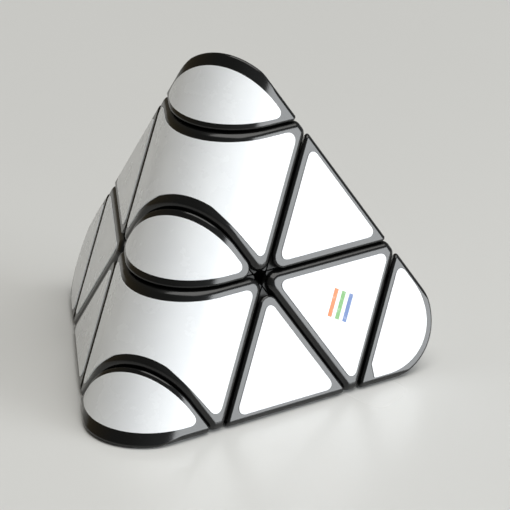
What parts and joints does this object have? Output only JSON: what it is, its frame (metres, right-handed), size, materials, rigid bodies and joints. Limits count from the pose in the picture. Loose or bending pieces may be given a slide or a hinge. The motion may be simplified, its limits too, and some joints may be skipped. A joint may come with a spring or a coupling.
{
  "type": "pyramid twisty puzzle",
  "caption": "Pyramid-shaped twisty puzzle with two rounded edges, turning layers and turning tips, in black plastic with plain white stickers.",
  "frame": {"origin": "centre of the core, where the four corner axes meet; it is the body's centre of symmetry", "axes": "+Z along the top corner's turning axis, so the puzzle stands on its bottom face; -X towards the left corner; Y = 0 is a mirror plane of the body"},
  "size_m": [0.0667, 0.0836, 0.0684],
  "materials": {
    "outer_plastic": "satin black moulded plastic",
    "inner_plastic": "matte black moulded plastic",
    "white_vinyl": "semi-gloss white vinyl sticker",
    "plated_steel": "zinc-plated steel"
  },
  "bodies": {
    "core": {"core": "inner_plastic", "corner_screws": "plated_steel", "corner_springs": "plated_steel", "spring_washers": "plated_steel"},
    "axial_top": {"axial_shell_top": "outer_plastic", "axial_hub_top": "inner_plastic", "sticker_axial_top_wrap": "white_vinyl", "sticker_axial_top_flat": "white_vinyl"},
    "tip_top": {"tip_cap_top": "outer_plastic", "tip_base_top": "inner_plastic", "sticker_tip_top_wrap": "white_vinyl", "sticker_tip_top_flat": "white_vinyl"},
    "axial_left": {"axial_shell_left": "outer_plastic", "axial_hub_left": "inner_plastic", "sticker_axial_left_wrap": "white_vinyl", "sticker_axial_left_flat": "white_vinyl"},
    "tip_left": {"tip_cap_left": "outer_plastic", "tip_base_left": "inner_plastic", "sticker_tip_left_wrap": "white_vinyl", "sticker_tip_left_flat": "white_vinyl"},
    "axial_right": {"axial_shell_right": "outer_plastic", "axial_hub_right": "inner_plastic", "sticker_axial_right_wrap": "white_vinyl", "sticker_axial_right_flat": "white_vinyl"},
    "tip_right": {"tip_cap_right": "outer_plastic", "tip_base_right": "inner_plastic", "sticker_tip_right_wrap": "white_vinyl", "sticker_tip_right_flat": "white_vinyl"},
    "axial_back": {"axial_shell_back": "outer_plastic", "axial_hub_back": "inner_plastic", "sticker_axial_back_wrap": "white_vinyl", "sticker_axial_back_flat": "white_vinyl"},
    "tip_back": {"tip_cap_back": "outer_plastic", "tip_base_back": "inner_plastic", "sticker_tip_back_wrap": "white_vinyl", "sticker_tip_back_flat": "white_vinyl"},
    "edge_top_left": {"edge_shell_top_left": "outer_plastic", "edge_foot_top_left": "inner_plastic", "sticker_edge_top_left_wrap": "white_vinyl"},
    "edge_right_back": {"edge_shell_right_back": "outer_plastic", "edge_foot_right_back": "inner_plastic", "sticker_edge_right_back_wrap": "white_vinyl"},
    "edge_top_right": {"edge_shell_top_right": "outer_plastic", "edge_foot_top_right": "inner_plastic", "sticker_edge_top_right_side": "white_vinyl", "sticker_edge_top_right_front": "white_vinyl"},
    "edge_top_back": {"edge_shell_top_back": "outer_plastic", "edge_foot_top_back": "inner_plastic", "sticker_edge_top_back_side": "white_vinyl", "sticker_edge_top_back_rear": "white_vinyl"},
    "edge_left_right": {"edge_shell_left_right": "outer_plastic", "edge_foot_left_right": "inner_plastic", "sticker_edge_left_right_bottom": "white_vinyl", "sticker_edge_left_right_front": "white_vinyl"},
    "edge_left_back": {"edge_shell_left_back": "outer_plastic", "edge_foot_left_back": "inner_plastic", "sticker_edge_left_back_bottom": "white_vinyl", "sticker_edge_left_back_rear": "white_vinyl"}
  },
  "joints": [
    {"name": "layer_top_turn", "type": "hinge", "parent": "core", "child": "axial_top", "pos_m": [0, 0, 0], "axis": [0, 0, 1], "range_deg": [-240, 120]},
    {"name": "layer_left_turn", "type": "hinge", "parent": "core", "child": "axial_left", "pos_m": [0, 0, 0], "axis": [-0.9428, 0, -0.3333], "range_deg": [-240, 120]},
    {"name": "layer_right_turn", "type": "hinge", "parent": "core", "child": "axial_right", "pos_m": [0, 0, 0], "axis": [0.4714, -0.8165, -0.3333], "range_deg": [-240, 120]},
    {"name": "layer_back_turn", "type": "hinge", "parent": "core", "child": "axial_back", "pos_m": [0, 0, 0], "axis": [0.4714, 0.8165, -0.3333], "range_deg": [-240, 120]},
    {"name": "tip_top_turn", "type": "hinge", "parent": "axial_top", "child": "tip_top", "pos_m": [0, 0, 0], "axis": [0, 0, 1], "continuous": true},
    {"name": "tip_left_turn", "type": "hinge", "parent": "axial_left", "child": "tip_left", "pos_m": [0, 0, 0], "axis": [-0.9428, 0, -0.3333], "continuous": true},
    {"name": "tip_right_turn", "type": "hinge", "parent": "axial_right", "child": "tip_right", "pos_m": [0, 0, 0], "axis": [0.4714, -0.8165, -0.3333], "continuous": true},
    {"name": "tip_back_turn", "type": "hinge", "parent": "axial_back", "child": "tip_back", "pos_m": [0, 0, 0], "axis": [0.4714, 0.8165, -0.3333], "continuous": true},
    {"name": "edge_top_left_turn", "type": "hinge", "parent": "axial_top", "child": "edge_top_left", "pos_m": [0, 0, 0], "axis": [-0.9428, 0, -0.3333], "range_deg": [-240, 120]},
    {"name": "edge_right_back_turn", "type": "hinge", "parent": "axial_right", "child": "edge_right_back", "pos_m": [0, 0, 0], "axis": [0.4714, 0.8165, -0.3333], "range_deg": [-240, 120]},
    {"name": "edge_top_right_turn", "type": "hinge", "parent": "axial_top", "child": "edge_top_right", "pos_m": [0, 0, 0], "axis": [0.4714, -0.8165, -0.3333], "range_deg": [-240, 120]},
    {"name": "edge_top_back_turn", "type": "hinge", "parent": "axial_top", "child": "edge_top_back", "pos_m": [0, 0, 0], "axis": [0.4714, 0.8165, -0.3333], "range_deg": [-240, 120]},
    {"name": "edge_left_right_turn", "type": "hinge", "parent": "axial_left", "child": "edge_left_right", "pos_m": [0, 0, 0], "axis": [0.4714, -0.8165, -0.3333], "range_deg": [-240, 120]},
    {"name": "edge_left_back_turn", "type": "hinge", "parent": "axial_back", "child": "edge_left_back", "pos_m": [0, 0, 0], "axis": [-0.9428, 0, -0.3333], "range_deg": [-240, 120]}
  ],
  "couplings": [
    {"joint": "edge_top_left_turn", "follows": "layer_left_turn", "ratio": 1},
    {"joint": "edge_right_back_turn", "follows": "layer_back_turn", "ratio": 1},
    {"joint": "edge_top_right_turn", "follows": "layer_right_turn", "ratio": 1},
    {"joint": "edge_top_back_turn", "follows": "layer_back_turn", "ratio": 1},
    {"joint": "edge_left_right_turn", "follows": "layer_right_turn", "ratio": 1},
    {"joint": "edge_left_back_turn", "follows": "layer_left_turn", "ratio": 1}
  ]
}
